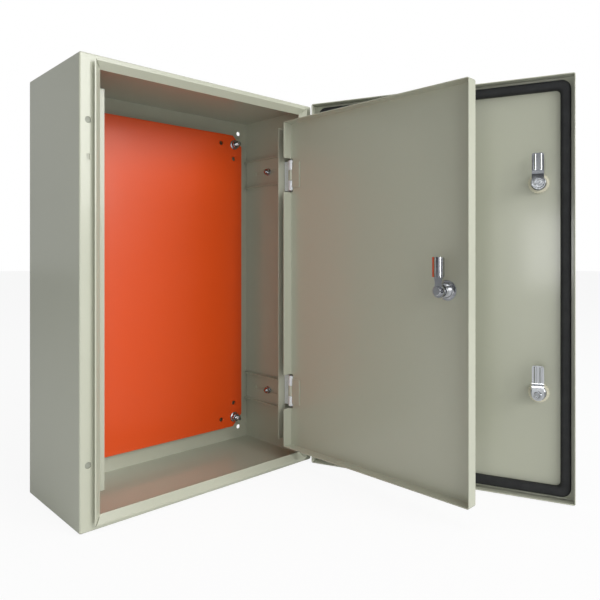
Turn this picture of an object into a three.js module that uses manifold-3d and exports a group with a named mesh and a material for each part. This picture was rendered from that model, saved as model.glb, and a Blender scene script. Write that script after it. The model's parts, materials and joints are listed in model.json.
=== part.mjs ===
// Wall-mounted sheet-steel combiner enclosure with an outer door, an inner door and a mounting plate.
// Millimetres. +Z is up. The origin is the centre of the back panel's outer face; the front is toward -Y.
// The doors are built closed and then swung open about their hinge lines.
import * as THREE from 'three';
import { mergeVertices } from 'three/addons/utils/BufferGeometryUtils.js';
import Module from 'manifold-3d';

const wasm = await Module();
wasm.setup();

// ---------------------------------------------------------------- driving dimensions
const WIDTH = 400;            // outside width of body and outer door
const HEIGHT = 600;           // outside height of body and outer door
const BODY_DEPTH = 178;       // back face to front flange face
const SHEET = 1.5;            // sheet thickness of body and doors
const OPEN_HALF_X = 173;      // half width of the front opening
const OPEN_EDGE_Z = 17.5;     // top and bottom flange width
const LIP_REACH = 8.5;        // how far the rain lip runs forward and outward
const LIP_RELIEF = 1.4;       // open mitre at the corners of the rain lip
const GAP = 0.05;             // gap between fixed neighbours
const DOOR_GAP = 0.3;         // gap between neighbours on a swung door

const DOOR_REST = 111.5;      // outer door angle, degrees from closed
const DOOR_AXIS = [197.8, -190];
const DOOR_KNUCKLE = 2.8, DOOR_PIN = 1.5;
const DOOR_BACK = -180;       // rim edge of the closed outer door
const DOOR_FRONT = -197;      // outer face of the closed outer door
const DOOR_SKIN = DOOR_FRONT + SHEET;
const GASKET_EDGE = 5.5;      // rim edge to gasket, top, bottom and lock side
const GASKET_HINGE_EDGE = 8.5;
const GASKET_WIDE = 14;
const GASKET_FACE = -186.3;   // sealing face of the gasket with the door closed

const INNER_REST = 91.2;        // inner door angle, degrees from closed
const INNER_AXIS = [169.5, -160.5];
const INNER_X0 = -172, INNER_X1 = 170.5;
const INNER_Z0 = 26.5, INNER_Z1 = 571;
const INNER_FRONT = -162, INNER_BACK = -144;
const INNER_SKIN = INNER_FRONT + SHEET;

const HINGE_Z = [84, 516];    // outer hinge heights, and the plugged twin holes in the other flange
const HINGE_HALF = 20;
const INNER_HINGE_Z = [118, 482];
const INNER_HINGE_HALF = 25;
const INNER_KNUCKLE = 4.2, INNER_PIN = 2;

const LOCK_X = -152, LOCK_Z = [150, 450];      // outer door locks
const INNER_LOCK_X = -132, INNER_LOCK_Z = 300;

const PLATE_FRONT = -18, PLATE_THICK = 2.5;
const PLATE_HALF_X = 174, PLATE_Z0 = 31, PLATE_Z1 = 569;
const STUD_X = 157, STUD_Z = [48, 552];

const POST_FRONT = -142, POST_OUTER_X = 190;
const POSTS = { left: [151, 32.5, 569], right: [158, 35, 563.5] };  // inner edge, foot, head
const CAM_REACH = 41;         // lock axis to cam tip on the outer door
const RAIL_Z = [100, 500], RAIL_TALL = 50, RAIL_BOLT_Y = -69;

// ---------------------------------------------------------------- solids
function solid(geometry) {
  const g = geometry.clone();
  g.deleteAttribute('normal');
  g.deleteAttribute('uv');
  const m = mergeVertices(g, 1e-4);
  return new wasm.Manifold(new wasm.Mesh({
    numProp: 3,
    vertProperties: new Float32Array(m.attributes.position.array),
    triVerts: new Uint32Array(m.index.array),
  }));
}
const join = (a, ...rest) => rest.reduce((s, b) => s.add(b), a);
const cut = (a, ...rest) => rest.reduce((s, b) => s.subtract(b), a);

function box(x0, x1, y0, y1, z0, z1) {
  const g = new THREE.BoxGeometry(Math.abs(x1 - x0), Math.abs(y1 - y0), Math.abs(z1 - z0));
  g.translate((x0 + x1) / 2, (y0 + y1) / 2, (z0 + z1) / 2);
  return solid(g);
}
// cylinders along each axis; n = 6 gives a hexagon
function cylY(r, y0, y1, x, z, n = 20, r1 = r) {
  const g = new THREE.CylinderGeometry(r1, r, Math.abs(y1 - y0), n);
  g.translate(x, (y0 + y1) / 2, z);
  return solid(g);
}
function cylX(r, x0, x1, y, z, n = 12) {
  const g = new THREE.CylinderGeometry(r, r, Math.abs(x1 - x0), n);
  g.rotateZ(Math.PI / 2);
  g.translate((x0 + x1) / 2, y, z);
  return solid(g);
}
function cylZ(r, z0, z1, x, y, n = 16) {
  const g = new THREE.CylinderGeometry(r, r, Math.abs(z1 - z0), n);
  g.rotateX(Math.PI / 2);
  g.translate(x, y, (z0 + z1) / 2);
  return solid(g);
}
const BASIS = {
  xy: new THREE.Matrix4(),
  xz: new THREE.Matrix4().makeBasis(new THREE.Vector3(1, 0, 0), new THREE.Vector3(0, 0, 1), new THREE.Vector3(0, -1, 0)),
  yz: new THREE.Matrix4().makeBasis(new THREE.Vector3(0, 1, 0), new THREE.Vector3(0, 0, 1), new THREE.Vector3(1, 0, 0)),
};
const START = { xy: [0, 0, 1], xz: [0, 1, 0], yz: [1, 0, 0] };
// a shape drawn in one plane and extruded across it, starting from the coordinate `from`
function prism(shape, plane, from, length, bevel = 0, segments = 2) {
  const g = new THREE.ExtrudeGeometry(shape, {
    depth: length - 2 * bevel,
    bevelEnabled: bevel > 0,
    bevelThickness: bevel,
    bevelSize: bevel,
    bevelOffset: -bevel,
    bevelSegments: segments,
    curveSegments: 3,
    steps: 1,
  });
  if (bevel > 0) g.translate(0, 0, bevel);
  g.applyMatrix4(BASIS[plane]);
  g.translate(...START[plane].map((v) => v * from));
  return solid(g);
}
const poly = (points) => new THREE.Shape(points.map(([a, b]) => new THREE.Vector2(a, b)));
function roundRect(target, x0, x1, z0, z1, r) {
  target.moveTo(x0 + r, z0);
  target.lineTo(x1 - r, z0);
  target.absarc(x1 - r, z0 + r, r, -Math.PI / 2, 0, false);
  target.lineTo(x1, z1 - r);
  target.absarc(x1 - r, z1 - r, r, 0, Math.PI / 2, false);
  target.lineTo(x0 + r, z1);
  target.absarc(x0 + r, z1 - r, r, Math.PI / 2, Math.PI, false);
  target.lineTo(x0, z0 + r);
  target.absarc(x0 + r, z0 + r, r, Math.PI, 1.5 * Math.PI, false);
  return target;
}
const frontRect = (x0, x1, z0, z1, r) => roundRect(new THREE.Shape(), x0, x1, z0, z1, r);

// ---------------------------------------------------------------- nodes
const root = new THREE.Group();
root.name = 'dc_combiner_box';
const PAINT = [0xbfc2b1, 0.42, 0.0];
const PLATE = [0xe0501f, 0.32, 0.0];
const ZINC = [0xb9bcc0, 0.34, 0.9];
const CHROME = [0xc9cccf, 0.18, 1.0];
const FOAM = [0x17181a, 0.85, 0.0];
const NYLON = [0xd9d6bd, 0.6, 0.0];
const PLUG = [0xa9ac9c, 0.55, 0.0];

// the fixed pieces hang from one group and each door's pieces from a group turned about its hinge line
function hung(axis, degrees) {
  const group = new THREE.Group();
  group.position.set(axis[0], axis[1], 0);
  group.rotation.z = THREE.MathUtils.degToRad(degrees);
  root.add(group);
  return group;
}
const fixedPieces = hung([0, 0], 0);
const onOuterDoor = hung(DOOR_AXIS, DOOR_REST);
const onInnerDoor = hung(INNER_AXIS, INNER_REST);

function node(name, body, look, group = fixedPieces) {
  const mesh = body.getMesh();
  const np = mesh.numProp;
  const count = mesh.vertProperties.length / np;
  const positions = new Float32Array(count * 3);
  for (let i = 0; i < count; i++) {
    for (let k = 0; k < 3; k++) positions[3 * i + k] = mesh.vertProperties[i * np + k];
  }
  const g = new THREE.BufferGeometry();
  g.setAttribute('position', new THREE.BufferAttribute(positions, 3));
  g.setIndex(new THREE.BufferAttribute(new Uint32Array(mesh.triVerts), 1));
  g.translate(-group.position.x, -group.position.y, -HEIGHT / 2);
  g.computeVertexNormals();
  const out = new THREE.Mesh(g, new THREE.MeshStandardMaterial({ color: look[0], roughness: look[1], metalness: look[2] }));
  out.name = name;
  group.add(out);
}

// ---- body: five-sided box with a front flange and a flared rain lip around the opening
function lipStrip(side) {
  const y0 = -(BODY_DEPTH - SHEET), y1 = y0 - LIP_REACH, w = SHEET * Math.SQRT2;
  const reach = 30;
  if (side === 'left' || side === 'right') {
    const s = side === 'right' ? 1 : -1;
    const pts = [[OPEN_HALF_X, y0], [OPEN_HALF_X + w, y0], [OPEN_HALF_X + w + LIP_REACH, y1], [OPEN_HALF_X + LIP_REACH, y1]];
    const strip = prism(poly(pts.map(([x, y]) => [s * x, y])), 'xy', -20, HEIGHT + 40);
    const mitre = prism(poly([
      [s * (OPEN_HALF_X - reach), OPEN_EDGE_Z + reach],
      [s * (OPEN_HALF_X + reach), OPEN_EDGE_Z - reach],
      [s * (OPEN_HALF_X + reach), HEIGHT - OPEN_EDGE_Z + reach],
      [s * (OPEN_HALF_X - reach), HEIGHT - OPEN_EDGE_Z - reach],
    ]), 'xz', 0, 200);
    return strip.intersect(mitre);
  }
  const top = side === 'top';
  const flip = (z) => (top ? HEIGHT - z : z);
  const pts = [[y0, OPEN_EDGE_Z], [y0, OPEN_EDGE_Z - w], [y1, OPEN_EDGE_Z - w - LIP_REACH], [y1, OPEN_EDGE_Z - LIP_REACH]];
  const strip = prism(poly(pts.map(([y, z]) => [y, flip(z)])), 'yz', -WIDTH / 2, WIDTH);
  const mitre = prism(poly([
    [-(OPEN_HALF_X - reach), flip(OPEN_EDGE_Z + reach)],
    [-(OPEN_HALF_X + reach), flip(OPEN_EDGE_Z - reach)],
    [OPEN_HALF_X + reach, flip(OPEN_EDGE_Z - reach)],
    [OPEN_HALF_X - reach, flip(OPEN_EDGE_Z + reach)],
  ]), 'xz', 0, 200);
  return strip.intersect(mitre);
}
function lipRelief(sx, top) {
  const g = new THREE.BoxGeometry(26, 20, LIP_RELIEF);
  g.translate(13 + 1.6, 0, 0);
  g.rotateY(sx > 0 ? (top ? -Math.PI / 4 : Math.PI / 4) : (top ? -0.75 * Math.PI : 0.75 * Math.PI));
  g.translate(sx * OPEN_HALF_X, -(BODY_DEPTH + 10.2), top ? HEIGHT - OPEN_EDGE_Z : OPEN_EDGE_Z);
  return solid(g);
}
let shell = cut(
  prism(frontRect(-WIDTH / 2, WIDTH / 2, 0, HEIGHT, 2.6), 'xz', 0, BODY_DEPTH, 2.2, 3),
  prism(frontRect(-WIDTH / 2 + SHEET, WIDTH / 2 - SHEET, SHEET, HEIGHT - SHEET, 1.2), 'xz', -SHEET, BODY_DEPTH - 2 * SHEET, 0.9, 1),
  box(-OPEN_HALF_X, OPEN_HALF_X, -BODY_DEPTH - 5, -BODY_DEPTH + 10, OPEN_EDGE_Z, HEIGHT - OPEN_EDGE_Z),
);
shell = join(shell, lipStrip('left'), lipStrip('right'), lipStrip('top'), lipStrip('bottom'));
for (const sx of [-1, 1]) for (const top of [false, true]) shell = cut(shell, lipRelief(sx, top));
// wall fixing holes
for (const x of [-179, 179]) for (const z of [22, 578]) shell = cut(shell, cylY(4, 5, -8, x, z, 16));
// plugged hinge holes and the small slot in the lock-side flange
for (const z of HINGE_Z) shell = cut(shell, cylY(4.15, -170, -184, -189, z, 16));
shell = cut(shell, box(-191, -187, -170, -184, 466, 474));
// weld studs that hold the depth rails
for (const s of [-1, 1]) for (const z of RAIL_Z) {
  shell = join(shell, cylX(3, s * (WIDTH / 2 - 1), s * 188, RAIL_BOLT_Y, z, 12));
}
node('cabinet_shell', shell, PAINT);

for (const [name, z] of [['lower', HINGE_Z[0]], ['upper', HINGE_Z[1]]]) {
  node(`flange_plug_${name}`, join(
    cylY(5.6, -BODY_DEPTH + SHEET + GAP, -BODY_DEPTH + SHEET + 1.6, -189, z, 16),
    cylY(4.0, -BODY_DEPTH + SHEET + 0.5, -BODY_DEPTH + 0.9, -189, z, 16),
  ), PLUG);
}

// ---- mounting plate on four welded studs
const plateBack = PLATE_FRONT + PLATE_THICK;
{
  const x = PLATE_HALF_X, z0 = PLATE_Z0, z1 = PLATE_Z1, a = 8, b = 20;
  const outline = poly([
    [-x + b, z0], [x - b, z0], [x - b + 4, z0 + 4], [x - 4, z0 + b - 4], [x, z0 + b],
    [x, z1 - b], [x - 4, z1 - b + 4], [x - b + 4, z1 - 4], [x - b, z1],
    [-x + b, z1], [-x + b - 4, z1 - 4], [-x + 4, z1 - b + 4], [-x, z1 - b],
    [-x, z0 + b], [-x + 4, z0 + b - 4], [-x + b - 4, z0 + 4],
  ]);
  let plate = prism(outline, 'xz', plateBack, PLATE_THICK);
  for (const sx of [-1, 1]) for (const z of STUD_Z) {
    const inward = z < HEIGHT / 2 ? 1 : -1;
    plate = cut(plate,
      cylY(4.5, 0, -30, sx * STUD_X, z, 14),
      cylY(3.75, 0, -30, sx * (STUD_X - 1), z + inward * 26, 12),
      cylY(3.75, 0, -30, sx * (STUD_X - 29), z, 12));
  }
  node('mounting_plate', plate, PLATE);
}
for (const [h, sx] of [['left', -1], ['right', 1]]) for (const [v, z] of [['lower', STUD_Z[0]], ['upper', STUD_Z[1]]]) {
  const x = sx * STUD_X;
  node(`plate_stud_${h}_${v}`, join(
    cylY(7.5, -SHEET - GAP, plateBack + GAP, x, z, 16),
    cylY(4.0, -6, -35, x, z, 16),
    ), ZINC);
  node(`plate_nut_${h}_${v}`, cut(join(
    cylY(8.9, PLATE_FRONT - GAP, PLATE_FRONT - 1.6, x, z, 16),
    cylY(7.5, PLATE_FRONT - 1, PLATE_FRONT - 8, x, z, 6),
  ), cylY(4.1, 0, -40, x, z, 16)), ZINC);
}

// ---- depth rails on the side walls, each a shallow channel with a long slot
for (const [h, s] of [['left', -1], ['right', 1]]) for (const [v, z] of [['lower', RAIL_Z[0]], ['upper', RAIL_Z[1]]]) {
  const wall = WIDTH / 2 - SHEET - GAP, inner = POST_OUTER_X + GAP;
  const half = RAIL_TALL / 2;
  let rail = join(
    box(s * (wall - SHEET), s * wall, -5, -140.4, z - half, z + half),
    box(s * inner, s * wall, -5, -140.4, z + half - SHEET, z + half),
    box(s * inner, s * wall, -5, -140.4, z - half, z - half + SHEET),
  );
  rail = cut(rail,
    box(s * 190, s * 199, RAIL_BOLT_Y - 34, RAIL_BOLT_Y + 34, z - 3.4, z + 3.4),
    cylX(3.4, s * 190, s * 199, RAIL_BOLT_Y - 34, z, 12),
    cylX(3.4, s * 190, s * 199, RAIL_BOLT_Y + 34, z, 12),
    cylX(5.5, s * 190, s * 199, RAIL_BOLT_Y + 11, z, 12));
  node(`side_rail_${h}_${v}`, rail, PAINT);
  node(`rail_nut_${h}_${v}`, cut(join(
    cylX(6.6, s * (wall - SHEET - GAP), s * (wall - SHEET - 1.3), RAIL_BOLT_Y, z, 12),
    cylX(5.75, s * (wall - SHEET - 1), s * (wall - SHEET - 6), RAIL_BOLT_Y, z, 6),
  ), cylX(3.1, s * 185, s * 199, RAIL_BOLT_Y, z, 12)), ZINC);
}

// ---- upright posts that carry the inner door, plain angles
for (const [h, s] of [['left', -1], ['right', 1]]) {
  const [inner, z0, z1] = POSTS[h];
  node(`door_post_${h}`, join(
    box(s * inner, s * POST_OUTER_X, POST_FRONT, POST_FRONT + SHEET, z0, z1),
    box(s * (POST_OUTER_X - SHEET), s * POST_OUTER_X, POST_FRONT, POST_FRONT + 22, z0, z1),
  ), PAINT);
}

// ---- outer door
{
  let pan = cut(
    prism(frontRect(-WIDTH / 2, WIDTH / 2, 0, HEIGHT, 2.4), 'xz', DOOR_BACK + 20, DOOR_BACK + 20 - DOOR_FRONT, 2, 3),
    box(-WIDTH, WIDTH, DOOR_BACK, DOOR_BACK + 30, -20, HEIGHT + 20),
    prism(frontRect(-WIDTH / 2 + SHEET, WIDTH / 2 - SHEET, SHEET, HEIGHT - SHEET, 1.2), 'xz', DOOR_BACK + 20, DOOR_BACK + 20 - DOOR_SKIN, 0.8, 1),
  );
  for (const z of HINGE_Z) pan = cut(pan, box(WIDTH / 2 - 2.2, WIDTH / 2 + 2, DOOR_BACK + 2, -194.4, z - HINGE_HALF - 2, z + HINGE_HALF + 2));
  for (const z of LOCK_Z) pan = cut(pan, cylY(10.3, -190, -200, LOCK_X, z, 20));
  node('outer_door_panel', pan, PAINT, onOuterDoor);

  const ring = frontRect(-WIDTH / 2 + GASKET_EDGE, WIDTH / 2 - GASKET_HINGE_EDGE, GASKET_EDGE, HEIGHT - GASKET_EDGE, 13);
  ring.holes.push(roundRect(new THREE.Path(),
    -WIDTH / 2 + GASKET_EDGE + GASKET_WIDE, WIDTH / 2 - GASKET_HINGE_EDGE - GASKET_WIDE + 0.5,
    GASKET_EDGE + GASKET_WIDE, HEIGHT - GASKET_EDGE - GASKET_WIDE, 6.5));
  const back = DOOR_SKIN + DOOR_GAP;
  node('outer_door_gasket', prism(ring, 'xz', GASKET_FACE, GASKET_FACE - back, 1.6, 2), FOAM, onOuterDoor);
}

// ---- outer hinges: a frame arm with the middle knuckle, a door bracket with two, and a pin
for (const [name, z] of [['lower', HINGE_Z[0]], ['upper', HINGE_Z[1]]]) {
  const [ax, ay] = DOOR_AXIS, r = DOOR_KNUCKLE;
  node(`outer_hinge_${name}_frame_arm`, cut(join(
    box(184, ax + 1, -BODY_DEPTH - GAP, -BODY_DEPTH - 1.8, z - HINGE_HALF, z + HINGE_HALF),
    box(ax - 1, ax + 1, -BODY_DEPTH - 0.5, ay, z - 9, z + 9),
    cylZ(r, z - 9, z + 9, ax, ay, 16),
  ), cylZ(DOOR_PIN + 0.05, z - 30, z + 30, ax, ay, 16)), ZINC);
  node(`outer_hinge_${name}_pin`, cylZ(DOOR_PIN, z - HINGE_HALF - 1.2, z + HINGE_HALF + 1.2, ax, ay, 16), CHROME);
  node(`outer_hinge_${name}_door_bracket`, cut(join(
    box(ax - 5.7, ax - 0.3, DOOR_SKIN + DOOR_GAP, ay - 3.4, z - HINGE_HALF, z + HINGE_HALF),
    box(ax - 2.2, ax - 0.3, DOOR_SKIN + DOOR_GAP, ay - 1, z - HINGE_HALF, z - 9.4),
    box(ax - 2.2, ax - 0.3, DOOR_SKIN + DOOR_GAP, ay - 1, z + 9.4, z + HINGE_HALF),
    cylZ(r, z - HINGE_HALF, z - 9.4, ax, ay, 16),
    cylZ(r, z + 9.4, z + HINGE_HALF, ax, ay, 16),
  ), cylZ(DOOR_PIN + 0.08, z - 30, z + 30, ax, ay, 16)), ZINC, onOuterDoor);
}

// ---- outer locks: housing, ring nut, turning core, cranked cam and its screw
function keySocket(y, x, z) {
  // double-bit key recess: a round pocket with two bit slots, leaving a centre pin
  return cut(join(
    cylY(3.4, y - 1, y + 6, x, z, 12),
    box(x - 1.1, x + 1.1, y - 1, y + 6, z - 5, z + 5),
  ), cylY(1.4, y - 2, y + 8, x, z, 8));
}
for (const [name, z] of [['lower', LOCK_Z[0]], ['upper', LOCK_Z[1]]]) {
  const x = LOCK_X;
  node(`outer_lock_${name}_housing`, cut(join(
    cylY(14.5, DOOR_FRONT - DOOR_GAP, DOOR_FRONT - 2.6, x, z, 20, 13.2),
    cylY(10, DOOR_FRONT - 1, -181.5, x, z, 20),
  ), cylY(7.08, -205, -170, x, z, 20)), ZINC, onOuterDoor);

  const teeth = 16;
  const outline = [];
  for (let i = 0; i < teeth * 2; i++) {
    const t = (i / (teeth * 2)) * 2 * Math.PI;
    const r = i % 2 ? 14.5 : 13.4;
    outline.push([x + r * Math.cos(t), z + r * Math.sin(t)]);
  }
  node(`outer_lock_${name}_ring_nut`, cut(join(
    prism(poly(outline), 'xz', -191.4, 195.2 - 191.4),
    cylY(12.4, -192, -189.8, x, z, 20),
  ), cylY(10.3, -205, -170, x, z, 20)), NYLON, onOuterDoor);

  node(`outer_lock_${name}_core`, cut(
    cylY(6.9, DOOR_FRONT - 2.2, -173.8, x, z, 20),
    keySocket(DOOR_FRONT - 2.2, x, z),
    cylY(3.3, -182, -170, x, z, 12),
  ), ZINC, onOuterDoor);

  // side profile of the cam, thickness toward the cabinet, tip stepped toward the flange
  const profile = poly([
    [-171.5, z - 8], [-173.5, z - 8], [-173.5, z + 10.5], [-175.5, z + 15],
    [-175.5, z + CAM_REACH + 1], [-173.5, z + CAM_REACH + 1], [-173.5, z + 15.9], [-171.5, z + 11.4],
  ]);
  let cam = prism(profile, 'yz', x - 8, 16);
  const plan = new THREE.Shape();
  plan.absarc(x, z, 8, Math.PI, 2 * Math.PI, false);
  plan.lineTo(x + 8, z + CAM_REACH - 3.5);
  plan.lineTo(x + 5.5, z + CAM_REACH);
  plan.lineTo(x - 5.5, z + CAM_REACH);
  plan.lineTo(x - 8, z + CAM_REACH - 3.5);
  cam = cam.intersect(prism(plan, 'xz', -168, 12));
  cam = cut(cam,
    box(x - 1.4, x + 1.4, -174.3, -172.5, z + 17, z + CAM_REACH + 3),
    cylY(3.3, -180, -165, x, z, 12));
  node(`outer_lock_${name}_cam`, cam, ZINC, onOuterDoor);

  node(`outer_lock_${name}_cam_screw`, join(
    cylY(3.0, -180.5, -170.5, x, z, 12),
    cylY(5.77, -171.2, -168, x, z, 6),
  ), ZINC, onOuterDoor);
}

// ---- inner door
{
  let pan = cut(
    prism(frontRect(INNER_X0, INNER_X1, INNER_Z0, INNER_Z1, 2.4), 'xz', INNER_BACK + 20, INNER_BACK + 20 - INNER_FRONT, 2, 3),
    box(-WIDTH, WIDTH, INNER_BACK, INNER_BACK + 30, -20, HEIGHT + 20),
    prism(frontRect(INNER_X0 + SHEET, INNER_X1 - SHEET, INNER_Z0 + SHEET, INNER_Z1 - SHEET, 1.2), 'xz', INNER_BACK + 20, INNER_BACK + 20 - INNER_SKIN, 0.8, 1),
  );
  for (const z of INNER_HINGE_Z) {
    pan = cut(pan, box(INNER_AXIS[0] - 4.8, INNER_X1 + 3, INNER_FRONT - 2, INNER_BACK + 2, z - INNER_HINGE_HALF - 3.5, z + INNER_HINGE_HALF + 3.5));
  }
  pan = cut(pan, cylY(9.3, -155, -170, INNER_LOCK_X, INNER_LOCK_Z, 20));
  node('inner_door_panel', pan, PAINT, onInnerDoor);
}

// ---- inner hinges: a zinc frame leaf with two knuckles, a painted door leaf with one, and a pin
for (const [name, z] of [['lower', INNER_HINGE_Z[0]], ['upper', INNER_HINGE_Z[1]]]) {
  const [ax, ay] = INNER_AXIS, half = INNER_HINGE_HALF, r = INNER_KNUCKLE;
  node(`inner_hinge_${name}_frame_leaf`, cut(join(
    box(ax + r - SHEET, 187, POST_FRONT - GAP, POST_FRONT - 1.8, z - half, z + half),
    box(ax + r - SHEET, ax + r, POST_FRONT - GAP, ay, z - half, z + half),
    cylZ(r, z - half, z + half, ax, ay, 16),
  ),
  box(ax - 6, ax + 6, ay - 6, ay + 5.4, z - 9, z + 9),
  cylZ(INNER_PIN + 0.05, z - 40, z + 40, ax, ay, 16)), ZINC);
  node(`inner_hinge_${name}_pin`, join(
    cylZ(INNER_PIN, z - half - 1.5, z + half + 1.0, ax, ay, 16),
    cylZ(INNER_PIN + 0.8, z + half + 0.3, z + half + 1.8, ax, ay, 16),
  ), CHROME);
  node(`inner_hinge_${name}_door_leaf`, cut(join(
    box(148, ax - 5.2, INNER_SKIN + DOOR_GAP, INNER_SKIN + DOOR_GAP + 1.5, z - 21, z + 21),
    box(ax - 6, ax - 2.4, INNER_SKIN + DOOR_GAP, INNER_SKIN + DOOR_GAP + 1.5, z - 8.6, z + 8.6),
    cylZ(r, z - 8.6, z + 8.6, ax, ay, 16),
  ), cylZ(INNER_PIN + 0.08, z - 40, z + 40, ax, ay, 16)), PAINT, onInnerDoor);
}

// ---- inner lock: housing, ring nut, turning core, a cam with a thick paddle, and its nut
{
  const x = INNER_LOCK_X, z = INNER_LOCK_Z;
  node('inner_lock_housing', cut(join(
    cylY(13, INNER_FRONT - DOOR_GAP, INNER_FRONT - 2.4, x, z, 20, 11.8),
    cylY(9, INNER_FRONT - 1, -145, x, z, 20),
  ), cylY(6.08, -170, -140, x, z, 20)), CHROME, onInnerDoor);
  node('inner_lock_ring_nut', cut(join(
    cylY(13.5, -160.2, -158.6, x, z, 20),
    cylY(12.1, -159, -155.2, x, z, 6),
  ), cylY(9.3, -170, -140, x, z, 20)), CHROME, onInnerDoor);
  node('inner_lock_core', cut(
    cylY(5.9, INNER_FRONT - 2.0, -139.8, x, z, 20),
    keySocket(INNER_FRONT - 2.0, x, z),
    cylY(3.3, -148, -130, x, z, 12),
  ), CHROME, onInnerDoor);
  const plan = new THREE.Shape();
  plan.absarc(x, z, 8.5, Math.PI * 0.72, Math.PI * 2.28, false);
  plan.lineTo(x + 5.4, z + 12);
  plan.lineTo(x + 6.5, z + 22);
  plan.lineTo(x - 6.5, z + 22);
  plan.lineTo(x - 5.4, z + 12);
  const paddle = frontRect(x - 8.5, x + 8.5, z + 18, z + 44.5, 3.2);
  node('inner_lock_cam', cut(join(
    prism(plan, 'xz', -136.7, 2.8),
    prism(paddle, 'xz', -131.5, 8, 2.4, 2),
  ), cylY(3.3, -150, -130, x, z, 12)), CHROME, onInnerDoor);
  node('inner_lock_cam_nut', join(
    cylY(3.0, -146.5, -133.2, x, z, 12),
    cylY(6.35, -136.4, -132.5, x, z, 6),
  ), CHROME, onInnerDoor);
}

export default root;
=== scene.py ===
import json
import math

import bmesh
import bpy
from mathutils import Matrix, Vector


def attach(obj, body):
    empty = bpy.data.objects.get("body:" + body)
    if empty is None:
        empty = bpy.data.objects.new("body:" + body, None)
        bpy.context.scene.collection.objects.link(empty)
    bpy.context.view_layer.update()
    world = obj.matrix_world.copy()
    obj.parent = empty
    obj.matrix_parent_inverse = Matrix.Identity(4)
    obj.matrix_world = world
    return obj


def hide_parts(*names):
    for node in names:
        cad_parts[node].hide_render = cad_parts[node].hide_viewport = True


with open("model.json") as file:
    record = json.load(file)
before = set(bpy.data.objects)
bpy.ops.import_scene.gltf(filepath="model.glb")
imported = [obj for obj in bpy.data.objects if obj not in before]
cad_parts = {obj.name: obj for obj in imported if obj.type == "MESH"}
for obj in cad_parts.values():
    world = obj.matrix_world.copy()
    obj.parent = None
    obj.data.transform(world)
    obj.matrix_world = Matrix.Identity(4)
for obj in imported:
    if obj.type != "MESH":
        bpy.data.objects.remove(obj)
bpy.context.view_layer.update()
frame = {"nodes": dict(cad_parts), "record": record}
record = frame["record"]
BODY_OF = {n: b for b, ns in record["behaviour"]["bodies"].items() for n in ns}
SLOT_OF = {s["node"]: s["material_slot"] for s in record["subparts"]}

# ------------------------------------------------------------------ dimensions, mm, z from the box bottom
W, H, DEPTH, T = 400.0, 600.0, 178.0, 1.5
OPX, OPZ = 173.0, 17.5
OUTER_AXIS, OUTER_REST = (197.8, -190.0), 111.5
INNER_AXIS, INNER_REST = (169.5, -160.5), 91.2
HINGE_Z = {"lower": 84.0, "upper": 516.0}
IN_HINGE_Z = {"lower": 118.0, "upper": 482.0}
LOCK_X, LOCK_Z = -152.0, {"lower": 150.0, "upper": 450.0}
ILX, ILZ = -132.0, 300.0


def place(where):
    s = Matrix.Diagonal((0.001, 0.001, 0.001, 1)) @ Matrix.Translation((0, 0, -H / 2))
    if where == "cab":
        return s
    axis, deg = (OUTER_AXIS, OUTER_REST) if where == "outer" else (INNER_AXIS, INNER_REST)
    a = Vector((axis[0], axis[1], 0))
    return s @ Matrix.Translation(a) @ Matrix.Rotation(math.radians(deg), 4, "Z") @ Matrix.Translation(-a)


WHERE = {"cabinet": "cab", "outer_door": "outer", "outer_latch_upper": "outer", "outer_latch_lower": "outer",
         "inner_door": "inner", "inner_latch": "inner"}


# ------------------------------------------------------------------ mesh helpers, all in mm in the closed pose
def rrect(x0, x1, z0, z1, r, n=5):
    pts = []
    for cx, cz, a0 in ((x1 - r, z0 + r, -90), (x1 - r, z1 - r, 0), (x0 + r, z1 - r, 90), (x0 + r, z0 + r, 180)):
        for i in range(n + 1):
            a = math.radians(a0 + 90.0 * i / n)
            pts.append((cx + r * math.cos(a), cz + r * math.sin(a)))
    return pts


def loft(loops, closed=False, caps=True):
    bm = bmesh.new()
    rings = [[bm.verts.new(p) for p in loop] for loop in loops]
    pairs = list(zip(rings, rings[1:]))
    if closed:
        pairs.append((rings[-1], rings[0]))
    for a, b in pairs:
        n = len(a)
        for i in range(n):
            bm.faces.new((a[i], a[(i + 1) % n], b[(i + 1) % n], b[i]))
    if caps and not closed:
        bm.faces.new(rings[0])
        bm.faces.new(list(reversed(rings[-1])))
    bmesh.ops.recalc_face_normals(bm, faces=bm.faces)
    return bm


def rect_loop(ix, iz, y, r, n=5, x0=-W / 2, x1=W / 2, z0=0.0, z1=H):
    return [(x, y, z) for x, z in rrect(x0 + ix, x1 - ix, z0 + iz, z1 - iz, max(r, 0.15), n)]


def arc(k, n):
    return math.radians(90.0 * k / n)


def box(x0, x1, y0, y1, z0, z1):
    x0, x1 = sorted((x0, x1))
    y0, y1 = sorted((y0, y1))
    z0, z1 = sorted((z0, z1))
    return loft([[(x0, y0, z), (x1, y0, z), (x1, y1, z), (x0, y1, z)] for z in (z0, z1)])


def to3(axis, a, b, t):
    return {"y": (a, t, b), "z": (a, b, t), "x": (t, a, b)}[axis]


def lathe(axis, ca, cb, profile, n=48):
    """profile is a list of (radius, position along the axis); the ends are capped"""
    loops = []
    for r, t in profile:
        loops.append([to3(axis, ca + r * math.cos(2 * math.pi * i / n), cb + r * math.sin(2 * math.pi * i / n), t) for i in range(n)])
    return loft(loops)


def tube(axis, ca, cb, profile, bore, n=48):
    ts = [t for _, t in profile]
    prof = list(profile) + [(bore, ts[-1]), (bore, ts[0])]
    loops = [[to3(axis, ca + r * math.cos(2 * math.pi * i / n), cb + r * math.sin(2 * math.pi * i / n), t) for i in range(n)] for r, t in prof]
    return loft(loops, closed=True)


def cyl(axis, ca, cb, r, t0, t1, n=48):
    return lathe(axis, ca, cb, [(r, t0), (r, t1)], n)


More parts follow.
